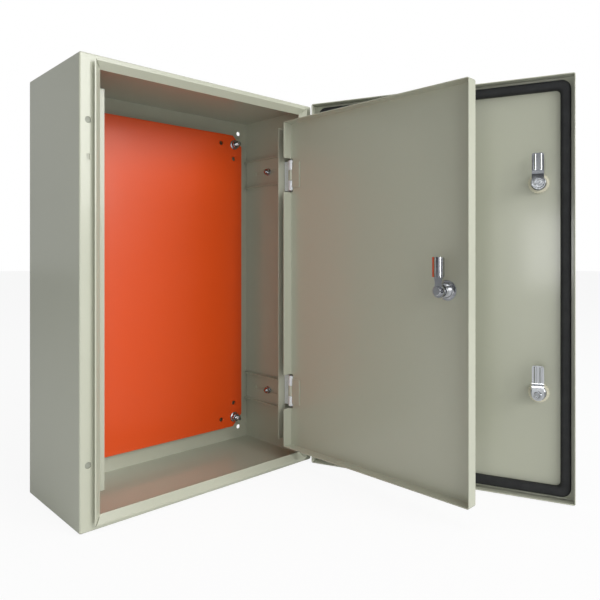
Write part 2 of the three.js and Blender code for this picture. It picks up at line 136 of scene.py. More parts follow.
def chamf(r, t0, t1, c):
    s = 1 if t1 > t0 else -1
    return [(r - c, t0), (r, t0 + s * c), (r, t1 - s * c), (r - c, t1)]


def prism(points, plane, a, b):
    """polygon in a plane ('xz' across y, 'xy' across z, 'yz' across x)"""
    def p3(p, t):
        return {"xz": (p[0], t, p[1]), "xy": (p[0], p[1], t), "yz": (t, p[0], p[1])}[plane]
    return loft([[p3(p, t) for p in points] for t in (a, b)])


def hexa(axis, ca, cb, across, t0, t1, c=0.7, phase=0.0):
    """hexagon nut or head with its corners turned off at the far end"""
    r = across / math.sqrt(3)
    pts = [(ca + r * math.cos(math.radians(60 * i + phase)), cb + r * math.sin(math.radians(60 * i + phase))) for i in range(6)]
    h = loft([[to3(axis, a, b, t) for a, b in pts] for t in (t0, t1)])
    s = 1 if t1 > t0 else -1
    cone = lathe(axis, ca, cb, [(r + 1.5, t0 - s * 0.5), (r + 1.5, t1 - s * 2.2), (across / 2 - 0.3, t1 + s * 0.0), (across / 2 - 0.6, t1 + s * 0.3)])
    return boolean(h, [cone], "INTERSECT")


def thread(axis, ca, cb, r, t0, t1, pitch=1.25, n=28):
    """stacked ridges that read as a screw thread"""
    s = 1 if t1 > t0 else -1
    prof = [(r - 0.8, t0)]
    t = t0 + s * 0.2
    while (t1 - t) * s > pitch:
        prof += [(r, t + s * 0.15 * pitch), (r, t + s * 0.35 * pitch), (r - 0.45, t + s * 0.75 * pitch), (r - 0.45, t + s * 0.95 * pitch)]
        t += s * pitch
    prof += [(r - 0.45, t1 - s * 0.5), (r - 1.1, t1)]
    return lathe(axis, ca, cb, prof, n)


def _ob(bm, name="tmp"):
    me = bpy.data.meshes.new(name)
    bm.to_mesh(me)
    o = bpy.data.objects.new(name, me)
    bpy.context.scene.collection.objects.link(o)
    return o


def boolean(bm, others, op="DIFFERENCE"):
    base = _ob(bm)
    bm.free()
    obs = [base]
    for other in others:
        o = _ob(other, "cut")
        other.free()
        obs.append(o)
        m = base.modifiers.new("b", "BOOLEAN")
        m.operation = op
        m.solver = "EXACT"
        m.object = o
    dg = bpy.context.evaluated_depsgraph_get()
    ev = base.evaluated_get(dg)
    me = bpy.data.meshes.new_from_object(ev)
    out = bmesh.new()
    out.from_mesh(me)
    for o in obs:
        d = o.data
        bpy.data.objects.remove(o)
        bpy.data.meshes.remove(d)
    bpy.data.meshes.remove(me)
    bmesh.ops.remove_doubles(out, verts=out.verts, dist=0.002)
    bmesh.ops.dissolve_limit(out, angle_limit=math.radians(0.5), verts=out.verts, edges=out.edges)
    return out


def cut(bm, *others):
    return boolean(bm, list(others), "DIFFERENCE")


def union(bm, *others):
    return boolean(bm, list(others), "UNION")


def piece(name, bm, nodes, mat, bevel=0.0, segments=2, angle=32, body=None, wn=True):
    nodes = [nodes] if isinstance(nodes, str) else list(nodes)
    body = body or BODY_OF[nodes[0]]
    bm.transform(place(WHERE[body]))
    bmesh.ops.recalc_face_normals(bm, faces=bm.faces)
    for f in bm.faces:
        f.smooth = True
    for e in bm.edges:
        e.smooth = len(e.link_faces) == 2 and e.calc_face_angle(0) < math.radians(angle)
    me = bpy.data.meshes.new(name)
    bm.to_mesh(me)
    bm.free()
    o = bpy.data.objects.new(name, me)
    bpy.context.scene.collection.objects.link(o)
    me.materials.append(mat)
    if bevel:
        m = o.modifiers.new("edge", "BEVEL")
        m.width = bevel / 1000
        m.segments = segments
        m.limit_method = "ANGLE"
        m.angle_limit = math.radians(angle)
        m.use_clamp_overlap = True
        m.miter_outer = "MITER_ARC"
    if wn:
        m = o.modifiers.new("normals", "WEIGHTED_NORMAL")
        m.keep_sharp = not bevel
        m.weight = 80
    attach(o, body)
    if nodes:
        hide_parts(*nodes)
    return o


# ------------------------------------------------------------------ materials
def lin(r, g, b):
    f = lambda c: (c / 255 / 12.92) if c / 255 <= 0.04045 else ((c / 255 + 0.055) / 1.055) ** 2.4
    return (f(r), f(g), f(b), 1.0)


def material(name, colour, rough, metal=0.0, coat=0.0, bump=(900.0, 0.05), vary=(14.0, 0.04), rough_vary=0.06, fine=None, spec=0.5, aniso=0.0):
    m = bpy.data.materials.new(name)
    m.use_nodes = True
    nt = m.node_tree
    N, L = nt.nodes, nt.links
    bsdf = N["Principled BSDF"]
    tc = N.new("ShaderNodeTexCoord")

    def noise(scale, detail=3.0, rough_=0.55):
        n = N.new("ShaderNodeTexNoise")
        n.inputs["Scale"].default_value = scale
        n.inputs["Detail"].default_value = detail
        n.inputs["Roughness"].default_value = rough_
        L.new(tc.outputs["Object"], n.inputs["Vector"])
        return n

    # colour drifts a little across the surface
    big = noise(vary[0])
    ramp = N.new("ShaderNodeValToRGB")
    c = colour
    lo = tuple(max(0, v * (1 - vary[1])) for v in c[:3]) + (1,)
    hi = tuple(min(1, v * (1 + vary[1])) for v in c[:3]) + (1,)
    ramp.color_ramp.elements[0].position = 0.35
    ramp.color_ramp.elements[1].position = 0.65
    ramp.color_ramp.elements[0].color = lo
    ramp.color_ramp.elements[1].color = hi
    L.new(big.outputs["Fac"], ramp.inputs["Fac"])
    L.new(ramp.outputs["Color"], bsdf.inputs["Base Color"])
    # roughness drifts as well, at a finer scale
    rn = noise(vary[0] * 5, 4)
    mr = N.new("ShaderNodeMapRange")
    mr.inputs["From Min"].default_value = 0.3
    mr.inputs["From Max"].default_value = 0.7
    mr.inputs["To Min"].default_value = max(0.03, rough - rough_vary)
    mr.inputs["To Max"].default_value = min(1.0, rough + rough_vary)
    L.new(rn.outputs["Fac"], mr.inputs["Value"])
    L.new(mr.outputs["Result"], bsdf.inputs["Roughness"])
    bsdf.inputs["Metallic"].default_value = metal
    bsdf.inputs["Specular IOR Level"].default_value = spec
    bsdf.inputs["Coat Weight"].default_value = coat
    bsdf.inputs["Coat Roughness"].default_value = 0.12
    bsdf.inputs["Anisotropic"].default_value = aniso
    # fine surface texture
    b = N.new("ShaderNodeBump")
    b.inputs["Strength"].default_value = bump[1]
    b.inputs["Distance"].default_value = 0.0004
    bn = noise(bump[0], 2)
    L.new(bn.outputs["Fac"], b.inputs["Height"])
    last = b
    if fine:
        b2 = N.new("ShaderNodeBump")
        b2.inputs["Strength"].default_value = fine[1]
        b2.inputs["Distance"].default_value = 0.0004
        if fine[2] == "cells":
            v = N.new("ShaderNodeTexVoronoi")
            v.inputs["Scale"].default_value = fine[0]
            L.new(tc.outputs["Object"], v.inputs["Vector"])
            L.new(v.outputs["Distance"], b2.inputs["Height"])
        else:
            n2 = noise(fine[0], 5, 0.7)
            L.new(n2.outputs["Fac"], b2.inputs["Height"])
        L.new(b.outputs["Normal"], b2.inputs["Normal"])
        last = b2
    L.new(last.outputs["Normal"], bsdf.inputs["Normal"])
    return m


def dull_bounce(m, colour, amount):
    """light bounced off this surface carries less of its colour"""
    nt = m.node_tree
    link = nt.nodes["Principled BSDF"].inputs["Base Color"].links[0]
    src = link.from_socket
    ray = nt.nodes.new("ShaderNodeLightPath")
    k = nt.nodes.new("ShaderNodeMath")
    k.operation = "MULTIPLY"
    k.inputs[1].default_value = amount
    mx = nt.nodes.new("ShaderNodeMix")
    mx.data_type = "RGBA"
    nt.links.new(ray.outputs["Is Diffuse Ray"], k.inputs[0])
    nt.links.new(k.outputs[0], mx.inputs[0])
    nt.links.new(src, mx.inputs[6])
    mx.inputs[7].default_value = colour
    nt.links.new(mx.outputs[2], nt.nodes["Principled BSDF"].inputs["Base Color"])


PAINT = material("powder_coat", lin(188, 190, 172), 0.32, coat=0.35, bump=(420.0, 0.22), vary=(3.5, 0.008), rough_vary=0.012, fine=(1300.0, 0.06, "noise"))
ORANGE = material("orange_enamel", lin(228, 79, 15), 0.36, coat=0.06, bump=(420.0, 0.06), vary=(4.0, 0.008), rough_vary=0.012, fine=(1500.0, 0.03, "noise"))
ZINC = material("zinc_plate", lin(172, 175, 178), 0.20, metal=1.0, bump=(500.0, 0.03), vary=(60.0, 0.03), rough_vary=0.02, fine=(2600.0, 0.01, "noise"))
dull_bounce(ORANGE, lin(120, 92, 66), 0.75)
BRIGHT_ZINC = material("bright_zinc", lin(196, 199, 202), 0.14, metal=1.0, bump=(500.0, 0.02), vary=(60.0, 0.03), rough_vary=0.02)
# painted light: the inner hinge zinc has its base colour raised near white and its metal turned down, so that leaves
# lying in the doors' shade read as brightly lit zinc
SHADE_LIFTED_ZINC = material("hinge_zinc", lin(232, 235, 238), 0.30, metal=0.12, bump=(700.0, 0.06), vary=(160.0, 0.04), rough_vary=0.05, fine=(2600.0, 0.05, "noise"))
CHROME = material("chrome_plate", lin(196, 198, 202), 0.12, metal=1.0, bump=(300.0, 0.05), vary=(120.0, 0.05), rough_vary=0.05)
STEEL = material("pin_steel", lin(178, 178, 178), 0.28, metal=1.0, bump=(900.0, 0.06), vary=(200.0, 0.08), rough_vary=0.06)
FOAM = material("gasket_foam", lin(44, 45, 46), 0.62, bump=(380.0, 0.25), vary=(60.0, 0.15), rough_vary=0.08, fine=(1400.0, 0.45, "cells"), spec=0.3)
NYLON = material("cream_nylon", lin(222, 218, 196), 0.48, bump=(500.0, 0.08), vary=(90.0, 0.03), rough_vary=0.05)
PLUG = material("grey_plug", lin(150, 153, 140), 0.50, bump=(600.0, 0.10), vary=(80.0, 0.03), rough_vary=0.05)
MAT = {"paint": PAINT, "plate_enamel": ORANGE, "zinc": ZINC, "chrome": CHROME, "steel": STEEL, "seal": FOAM, "nylon": NYLON, "plug_plastic": PLUG}


# ------------------------------------------------------------------ cabinet shell
def shell():
    L = []
    b, n = 2.4, 4
    for k in range(n + 1):  # back edge bend
        a = arc(k, n)
        L.append(rect_loop(b * (1 - math.sin(a)), b * (1 - math.sin(a)), -b * (1 - math.cos(a)), 0.3 + b * math.sin(a)))
    for k in range(n + 1):  # front edge bend
        a = arc(k, n)
        L.append(rect_loop(b * (1 - math.cos(a)), b * (1 - math.cos(a)), -DEPTH + b * (1 - math.sin(a)), 0.3 + b * math.cos(a)))
    w = T * math.sqrt(2)
    L.append(rect_loop(W / 2 - OPX - w - T - 0.9, OPZ - w - T - 0.9, -DEPTH, 0.6))
    L.append(rect_loop(W / 2 - OPX - w - T - 0.25, OPZ - w - T - 0.25, -DEPTH - 0.25, 0.6))
    L.append(rect_loop(W / 2 - OPX - w - T - 0.6 - 0.0 + -0.4, OPZ - w - T - 1.0, -DEPTH - 0.95, 0.7))
    L.append(rect_loop(W / 2 - OPX - w - 8.1, OPZ - w - 8.1, -DEPTH + T - 8.1, 1.4))
    L.append(rect_loop(W / 2 - OPX - w - 8.3, OPZ - w - 8.3, -DEPTH + T - 8.4, 1.4))
    L.append(rect_loop(W / 2 - OPX - w - 8.0, OPZ - w - 8.0, -DEPTH + T - 8.5, 1.4))
    L.append(rect_loop(W / 2 - OPX - 8.5, OPZ - 8.5, -DEPTH + T - 8.5, 1.0))
    L.append(rect_loop(W / 2 - OPX - 0.3, OPZ - 0.3, -DEPTH + T - 0.3, 0.6))
    L.append(rect_loop(W / 2 - OPX + 0.2, OPZ + 0.2, -DEPTH + T + 0.0, 0.6))
    L.append(rect_loop(T + 1.0, T + 1.0, -DEPTH + T, 0.5))
    for k in range(3):
        a = arc(k, 2)
        L.append(rect_loop(T + 1.0 * (1 - math.sin(a)), T + 1.0 * (1 - math.sin(a)), -DEPTH + T + 1.0 * (1 - math.cos(a)), 0.4 + math.sin(a)))
    for k in range(3):
        a = arc(k, 2)
        L.append(rect_loop(T + 1.0 * (1 - math.cos(a)), T + 1.0 * (1 - math.cos(a)), -T - 1.0 * (1 - math.sin(a)), 0.4 + math.cos(a)))
    bm = loft(L)
    bmesh.ops.remove_doubles(bm, verts=bm.verts, dist=0.001)
    cutters = []
    for x in (-179, 179):
        for z in (22, 578):
            cutters.append(cyl("y", x, z, 4.0, 4, -8, 32))
    for z in HINGE_Z.values():
        cutters.append(cyl("y", -189, z, 4.15, -170, -183, 32))
    cutters.append(prism(rrect(-191, -187, 466, 474, 0.8, 3), "xz", -170, -183))
    for sx in (-1, 1):
        for top in (0, 1):
            g = box(1.6, 27.6, -10, 10, -0.7, 0.7)
            ang = (-math.pi / 4 if top else math.pi / 4) if sx > 0 else (-0.75 * math.pi if top else 0.75 * math.pi)
            g.transform(Matrix.Translation((sx * OPX, -(DEPTH + 10.2), H - OPZ if top else OPZ)) @ Matrix.Rotation(ang, 4, "Y"))
            cutters.append(g)
    return cut(bm, *cutters)


piece("shell", shell(), "cabinet_shell", PAINT, angle=28)
for s, h in ((-1, "left"), (1, "right")):
    for v, z in (("lower", 100), ("upper", 500)):
        st = union(thread("x", -69, z, 3.0, s * 198.4, s * 188, 1.0), lathe("x", -69, z, [(4.4, s * 198.5), (4.0, s * 198.1), (2.9, s * 197.6), (2.2, s * 197.4)], 28))
        piece(f"rail_stud_{h}_{v}", st, [], ZINC, body="cabinet")

# plugs in the spare hinge holes, set a little below the flange face
for name, z in HINGE_Z.items():
    dome = lathe("y", -189, z, [(4.0, -175.9), (4.0, -176.7), (3.7, -177.05), (2.4, -177.1), (1.2, -176.9), (0.3, -176.85)], 40)
    cap = lathe("y", -189, z, [(5.2, -174.9), (5.6, -175.2), (5.6, -176.45)], 40)
    piece(f"plug_{name}", union(dome, cap), f"flange_plug_{name}", PLUG)


# ------------------------------------------------------------------ mounting plate, studs and nuts
def plate():
    x, z0, z1, a = 174.0, 31.0, 569.0, 20.0
    def corner(sx, sz):
        cx, cz = sx * x, (z0 if sz < 0 else z1)
        pts = [(cx - sx * a, cz), (cx - sx * (a - 4), cz - sz * 4), (cx - sx * 4, cz - sz * (a - 4)), (cx, cz - sz * a)]
        return pts
    pts = corner(-1, -1)[::-1] + corner(1, -1) + corner(1, 1)[::-1] + corner(-1, 1)
    bm = prism(pts, "xz", -15.5, -18.0)
    cutters = []
    for sx in (-1, 1):
        for z in (48, 552):
            inward = 1 if z < 300 else -1
            cutters += [cyl("y", sx * 157, z, 4.5, 0, -30, 28), cyl("y", sx * 156, z + inward * 26, 3.75, 0, -30, 28), cyl("y", sx * 128, z, 3.75, 0, -30, 28)]
    return cut(bm, *cutters)


piece("plate", plate(), "mounting_plate", ORANGE, bevel=0.45, segments=3)
for h, sx in (("left", -1), ("right", 1)):
    for v, z in (("lower", 48), ("upper", 552)):
        x = sx * 157
        stud = union(lathe("y", x, z, [(7.9, -1.6), (7.5, -2.4), (7.5, -15.0), (7.0, -15.4)], 40), thread("y", x, z, 4.0, -14, -35))
        piece(f"stud_{h}_{v}", stud, f"plate_stud_{h}_{v}", ZINC)
        nut = union(lathe("y", x, z, [(8.6, -18.05), (8.9, -18.3), (8.9, -18.9), (8.2, -19.6), (7.0, -20.2)], 48), hexa("y", x, z, 13, -18.6, -26, phase=12 if sx > 0 else 27))
        nut = cut(nut, lathe("y", x, z, [(4.1, -10), (4.1, -25.4), (4.9, -26.4)], 32))
        piece(f"nut_{h}_{v}", nut, f"plate_nut_{h}_{v}", ZINC, bevel=0.18)

# ------------------------------------------------------------------ rails and posts
for h, s in (("left", -1), ("right", 1)):
    for v, z in (("lower", 100), ("upper", 500)):
        wl, inn, hf = 198.45, 190.05, 25.0
        r = 1.6
        outline = []
        def bend(cx, cz, rr, a0, a1, n=4):
            return [(cx + rr * math.cos(math.radians(a0 + (a1 - a0) * i / n)), cz + rr * math.sin(math.radians(a0 + (a1 - a0) * i / n))) for i in range(n + 1)]
        outline += [(inn, z - hf)] + bend(wl - r, z - hf + r, r, -90, 0) + bend(wl - r, z + hf - r, r, 0, 90) + [(inn, z + hf), (inn, z + hf - T)]
        outline += [(wl - r, z + hf - T), (wl - T, z + hf - r), (wl - T, z - hf + r), (wl - r, z - hf + T), (inn, z - hf + T)]
        bm = prism([(s * a, b) for a, b in outline], "xz", -5, -140.4)
        slot_pts = [(-69 + 34, z - 3.4)] + [(-69 + 34 + 3.4 * math.sin(math.radians(t)), z - 3.4 * math.cos(math.radians(t))) for t in range(15, 180, 15)] + [(-69 + 34, z + 3.4), (-69 - 34, z + 3.4)] + [(-69 - 34 - 3.4 * math.sin(math.radians(t)), z + 3.4 * math.cos(math.radians(t))) for t in range(15, 180, 15)] + [(-69 - 34, z - 3.4)]
        bm = cut(bm, prism(slot_pts, "yz", s * 190, s * 200), cyl("x", -58, z, 5.5, s * 189, s * 201, 32))
        piece(f"rail_{h}_{v}", bm, f"side_rail_{h}_{v}", PAINT, bevel=0.3)
        x0 = 196.9
        nut = union(lathe("x", -69, z, [(6.4, s * x0), (6.6, s * (x0 - 0.2)), (6.6, s * (x0 - 1.0)), (6.2, s * (x0 - 1.25))], 40), hexa("x", -69, z, 10, s * (x0 - 1), s * (x0 - 6), phase=9 if s > 0 else 22))
        nut = cut(nut, cyl("x", -69, z, 3.1, s * 185, s * 199, 28))
        piece(f"rail_nut_{h}_{v}_fine", nut, f"rail_nut_{h}_{v}", ZINC, bevel=0.15)

for h, s, inner, z0, z1 in (("left", -1, 151.0, 32.5, 569.0), ("right", 1, 158.0, 35.0, 563.5)):
    y0 = -142.0
    o = [(inner, y0 + T), (inner, y0), (188.4, y0), (189.5, y0 + 0.5), (190, y0 + 1.6), (190, y0 + 22), (188.5, y0 + 22), (188.5, y0 + 2.2), (187.8, y0 + T)]
    piece(f"post_{h}", prism([(s * a, b) for a, b in o], "xy", z0, z1), f"door_post_{h}", PAINT, bevel=0.25)


# ------------------------------------------------------------------ doors: folded pans
def pan(x0, x1, z0, z1, front, back):
    def lp(i, y, r):
        return [(x, y, z) for x, z in rrect(x0 + i, x1 - i, z0 + i, z1 - i, max(r, 0.2), 6)]
    L = []
    b, n = 2.2, 5
    for k in range(n + 1):  # outer face into the rim
        a = arc(k, n)
        L.append(lp(b * (1 - math.sin(a)), front + b * (1 - math.cos(a)), 0.6 + b * math.sin(a)))
    L.append(lp(0.0, back - 0.35, 2.8))
    L.append(lp(0.35, back, 2.5))
    L.append(lp(T - 0.35, back, 1.7))
    L.append(lp(T, back - 0.35, 1.4))
    bi = 0.9
    for k in range(3):
        a = arc(k, 2)
        L.append(lp(T + bi * (1 - math.cos(a)), front + T + bi * (1 - math.sin(a)), 0.3 + bi * math.cos(a)))
    return loft(L)


bm = pan(-W / 2, W / 2, 0, H, -197.0, -180.0)
cutters = [box(197.7, 203, -178, -194.4, z - 22, z + 22) for z in HINGE_Z.values()]
cutters += [cyl("y", LOCK_X, z, 10.3, -190, -200, 48) for z in LOCK_Z.values()]
piece("outer_door", cut(bm, *cutters), "outer_door_panel", PAINT, angle=25)

bm = pan(-172, 170.5, 26.5, 571.0, -162.0, -144.0)
cutters = [box(164.7, 174, -166, -140, z - 28.5, z + 28.5) for z in IN_HINGE_Z.values()]
cutters.append(cyl("y", ILX, ILZ, 9.3, -155, -168, 48))
piece("inner_door", cut(bm, *cutters), "inner_door_panel", PAINT, angle=25)


# ------------------------------------------------------------------ foam gasket, poured bead with a rounded crown
def gasket():
    x0, x1, z0, z1 = -194.5, 191.5, 5.5, 594.5
    wx0, wx1, wz = 14.0, 13.5, 14.0
    back, face = -195.2, -186.3
    prof = [(0.0, 0.0), (0.0, 0.30), (0.02, 0.55), (0.08, 0.80), (0.20, 0.95), (0.36, 1.0), (0.64, 1.0), (0.80, 0.95), (0.92, 0.80), (0.98, 0.55), (1.0, 0.30), (1.0, 0.0)]
    L = []
    n = 9
    for u, v in prof:
        y = back + (face - back) * v
        r = 13.0 - (13.0 - 6.5) * u
        pts = rrect(x0 + wx0 * u, x1 - wx1 * u, z0 + wz * u, z1 - wz * u, r, n)
        # split the long runs so that the bead can wander slightly
        full = []
        m = len(pts)
        for i in range(m):
            a, b = pts[i], pts[(i + 1) % m]
            full.append(a)
            if math.dist(a, b) > 60:
                steps = 22
                for k in range(1, steps):
                    full.append((a[0] + (b[0] - a[0]) * k / steps, a[1] + (b[1] - a[1]) * k / steps))
        loop = []
        for i, (x, z) in enumerate(full):
            wob = 0.22 * math.sin(i * 1.7) + 0.14 * math.sin(i * 0.63 + 2.0)
            yy = y - (abs(wob) * 0.8 if v > 0.7 else 0.0)
            loop.append((x, yy, z))
        L.append(loop)
    return loft(L, closed=True)


piece("gasket", gasket(), "outer_door_gasket", FOAM, angle=60)

# ------------------------------------------------------------------ outer hinges
ax, ay = OUTER_AXIS
for name, z in HINGE_Z.items():
    kn = lambda a, b: tube("z", ax, ay, chamf(2.8, a, b, 0.25), 1.58, 40)
    arm = union(box(184, ax + 1, -178.05, -179.8, z - 20, z + 20), box(ax - 1, ax + 1, -178.6, ay + 2.2, z - 9, z + 9), kn(z - 9, z + 9))
    piece(f"hinge_{name}_arm", arm, f"outer_hinge_{name}_frame_arm", ZINC, bevel=0.2)
    pin = lathe("z", ax, ay, [(1.1, z - 21.2), (1.5, z - 20.8), (1.5, z + 20.8), (1.1, z + 21.2)], 32)
    piece(f"hinge_{name}_pin", pin, f"outer_hinge_{name}_pin", STEEL)
    br = union(box(ax - 5.7, ax - 0.3, -195.2, ay - 3.4, z - 20, z + 20),
               box(ax - 2.2, ax - 0.3, -195.0, ay - 2.0, z - 20, z - 9.4), box(ax - 2.2, ax - 0.3, -195.0, ay - 2.0, z + 9.4, z + 20),
               kn(z - 20, z - 9.4), kn(z + 9.4, z + 20))
    piece(f"hinge_{name}_bracket", br, f"outer_hinge_{name}_door_bracket", ZINC, bevel=0.2)

# ------------------------------------------------------------------ inner hinges
ax, ay = INNER_AXIS
for name, z in IN_HINGE_Z.items():
    kn = lambda a, b: tube("z", ax, ay, chamf(4.2, a, b, 0.35), 2.08, 48)
    up = box(ax + 2.75, ax + 4.15, -142.4, ay, z - 25, z + 25)
    up = cut(up, box(ax - 6, ax + 6, ay - 6, ay + 5.4, z - 9, z + 9))
    leaf = union(box(ax + 2.7, 187, -142.05, -143.8, z - 25, z + 25), up, kn(z - 25, z - 9), kn(z + 9, z + 25))
    leaf = cut(leaf, cyl("y", 181, z + 14, 2.1, -140, -146, 24), cyl("y", 181, z - 14, 2.1, -140, -146, 24))
    piece(f"inner_hinge_{name}_leaf", leaf, f"inner_hinge_{name}_frame_leaf", SHADE_LIFTED_ZINC, bevel=0.2)
    pin = lathe("z", ax, ay, [(1.6, z - 26.5), (2.0, z - 26.1), (2.0, z + 25.25), (2.6, z + 25.35), (2.8, z + 25.6), (2.8, z + 26.2), (2.2, z + 26.65), (0.6, z + 26.8)], 40)
    piece(f"inner_hinge_{name}_pin_fine", pin, f"inner_hinge_{name}_pin", CHROME)
    dl = union(box(148, ax - 5.2, -160.2, -158.7, z - 21, z + 21), box(ax - 6, ax - 2.4, -160.2, -158.7, z - 8.6, z + 8.6),
               kn(z - 8.6, z + 8.6))
    piece(f"inner_hinge_{name}_leaf_door", dl, f"inner_hinge_{name}_door_leaf", PAINT, bevel=0.2)


# ------------------------------------------------------------------ locks
def key_recess(y, x, z):
    return [cut(union(cyl("y", x, z, 3.4, y - 1, y + 6, 32), box(x - 1.1, x + 1.1, y - 1, y + 6, z - 5, z + 5)), cyl("y", x, z, 1.4, y - 2, y + 8, 24))]


for name, z in LOCK_Z.items():
    x = LOCK_X
    body = [(13.0, -199.6), (14.1, -199.1), (14.5, -198.4), (14.5, -197.4), (14.0, -197.3), (10.0, -197.3), (10.0, -196.6)]
    t = -196.0
    while t < -184.5:  # threaded barrel
        body += [(10.0, t), (10.0, t + 0.35), (9.55, t + 0.8), (9.55, t + 1.0)]
        t += 1.35
    body += [(9.7, -183.4), (9.7, -182.0), (9.2, -181.5)]
    hs = tube("y", x, z, body, 7.1, 56)
    piece(f"lock_{name}_housing", hs, f"outer_lock_{name}_housing", ZINC, angle=40)

    teeth, pts = 24, []
    for i in range(teeth):
        for f, r in ((0.0, 13.5), (0.22, 14.5), (0.6, 14.5), (0.82, 13.5)):
            a = 2 * math.pi * (i + f) / teeth
            pts.append((x + r * math.cos(a), z + r * math.sin(a)))
    rn = union(prism(pts, "xz", -195.2, -191.4), lathe("y", x, z, [(12.6, -191.8), (12.4, -190.4), (11.9, -189.8)], 56))
    rn = cut(rn, cyl("y", x, z, 10.3, -205, -170, 56))
    piece(f"lock_{name}_nut", rn, f"outer_lock_{name}_ring_nut", NYLON, bevel=0.25)

    core = lathe("y", x, z, [(6.4, -199.2), (6.9, -198.8), (6.9, -182.2), (6.7, -181.6), (6.9, -181.0), (6.9, -174.2), (6.5, -173.8)], 48)
    core = cut(core, *key_recess(-199.2, x, z), cyl("y", x, z, 3.3, -182, -170, 28))
    piece(f"lock_{name}_core", core, f"outer_lock_{name}_core", ZINC, bevel=0.12)

    prof = [(-171.5, z - 8), (-173.5, z - 8), (-173.5, z + 10.5), (-174.1, z + 12.2), (-174.9, z + 14.1), (-175.5, z + 15.2), (-175.5, z + 42), (-173.5, z + 42), (-173.5, z + 16.2), (-172.9, z + 14.9), (-172.1, z + 12.8), (-171.5, z + 11.2)]
    cam = prism(prof, "yz", x - 8, x + 8)
    plan = [(x + 8 * math.cos(math.radians(a)), z + 8 * math.sin(math.radians(a))) for a in range(180, 361, 10)] + [(x + 8, z + 37.5), (x + 7.7, z + 39.2), (x + 6.6, z + 40.5), (x + 5.2, z + 41.0), (x - 5.2, z + 41.0), (x - 6.6, z + 40.5), (x - 7.7, z + 39.2), (x - 8, z + 37.5)]
    cam = boolean(cam, [prism(plan, "xz", -168, -180)], "INTERSECT")
    # pressed groove along the tip with a raised rib on each side
    cam = cut(cam, box(x - 1.7, x + 1.7, -175.1, -172.5, z + 17.2, z + 44), box(x - 6.6, x - 5.5, -174.7, -172.5, z + 17.2, z + 39.6), box(x + 5.5, x + 6.6, -174.7, -172.5, z + 17.2, z + 39.6))
    cam = union(cam, cyl("z", x - 3.7, -173.4, 1.55, z + 16.9, z + 39.6, 28), cyl("z", x + 3.7, -173.4, 1.55, z + 16.9, z + 39.6, 28))
    cam = cut(cam, cyl("y", x, z, 3.3, -180, -165, 28))
    piece(f"lock_{name}_cam_fine", cam, f"outer_lock_{name}_cam", BRIGHT_ZINC, bevel=0.3, segments=3)

    sc = union(cyl("y", x, z, 3.0, -180.4, -171.0, 28), hexa("y", x, z, 10, -171.2, -168.0, phase=14 if name == "upper" else 41))
    sc = cut(sc, lathe("y", x, z, [(2.6, -168.9), (3.2, -167.6)], 32))
    piece(f"lock_{name}_screw", sc, f"outer_lock_{name}_cam_screw", ZINC, bevel=0.2)

x, z = ILX, ILZ
body = [(11.6, -164.3), (12.6, -163.9), (13.0, -163.3), (13.0, -162.4), (12.6, -162.3), (9.0, -162.3), (9.0, -161.8)]
t = -161.2
while t < -148.5:
    body += [(9.0, t), (9.0, t + 0.35), (8.55, t + 0.8), (8.55, t + 1.0)]
    t += 1.35
body += [(8.8, -147.2), (8.8, -145.5), (8.3, -145.0)]
piece("inner_lock_body", tube("y", x, z, body, 6.08, 56), "inner_lock_housing", CHROME, angle=40)
rn = union(lathe("y", x, z, [(13.3, -160.2), (13.5, -159.9), (13.5, -158.9), (13.2, -158.6)], 56), hexa("y", x, z, 21, -159.0, -155.2, phase=8))
piece("inner_lock_nut", cut(rn, cyl("y", x, z, 9.3, -170, -140, 48)), "inner_lock_ring_nut", CHROME, bevel=0.2)
core = lathe("y", x, z, [(5.5, -164.0), (5.9, -163.6), (5.9, -145.4), (5.6, -145.0), (5.9, -144.4), (5.9, -140.2), (5.5, -139.8)], 48)
core = cut(core, *key_recess(-164.0, x, z), cyl("y", x, z, 3.3, -148, -130, 28))
piece("inner_lock_core_fine", core, "inner_lock_core", CHROME, bevel=0.12)
plan = [(x + 8.5 * math.cos(math.radians(a)), z + 8.5 * math.sin(math.radians(a))) for a in range(130, 411, 10)]
plan += [(x + 5.0, z + 9.2), (x + 5.3, z + 13.0), (x + 6.2, z + 18.5), (x + 6.2, z + 23), (x - 6.2, z + 23), (x - 6.2, z + 18.5), (x - 5.3, z + 13.0), (x - 5.0, z + 9.2)]
cam = cut(prism(plan, "xz", -139.5, -136.8), cyl("y", x, z, 3.3, -150, -130, 28))
# thick paddle: a flattened half tube with a shallow trough on the door side
xs = [(8.4 * math.cos(math.radians(a)), -136.6 + 4.9 * math.sin(math.radians(a)) ** 0.8) for a in range(0, 181, 12)]
prof = [(x + a, b) for a, b in xs] + [(x - 8.4, -138.9), (x - 6.4, -139.4), (x - 3.2, -138.6), (x, -138.2), (x + 3.2, -138.6), (x + 6.4, -139.4), (x + 8.4, -138.9)]
pad = prism(prof, "xy", z + 18.3, z + 44.3)
pad = boolean(pad, [prism(rrect(x - 8.4, x + 8.4, z + 18.3, z + 44.3, 3.0, 6), "xz", -128, -142)], "INTERSECT")
cam = union(cam, pad)
piece("inner_lock_cam_fine", cam, "inner_lock_cam", CHROME, bevel=0.45, segments=3)
nt = union(thread("y", x, z, 3.0, -146.4, -133.0, 1.0), hexa("y", x, z, 11, -136.6, -132.6, phase=20))
piece("inner_lock_end_nut", nt, "inner_lock_cam_nut", CHROME, bevel=0.15)

# any CAD node still shown gets its slot's material
for n, o in frame["nodes"].items():
    if not o.hide_render:
        o.data.materials.clear()
        o.data.materials.append(MAT[SLOT_OF[n]])


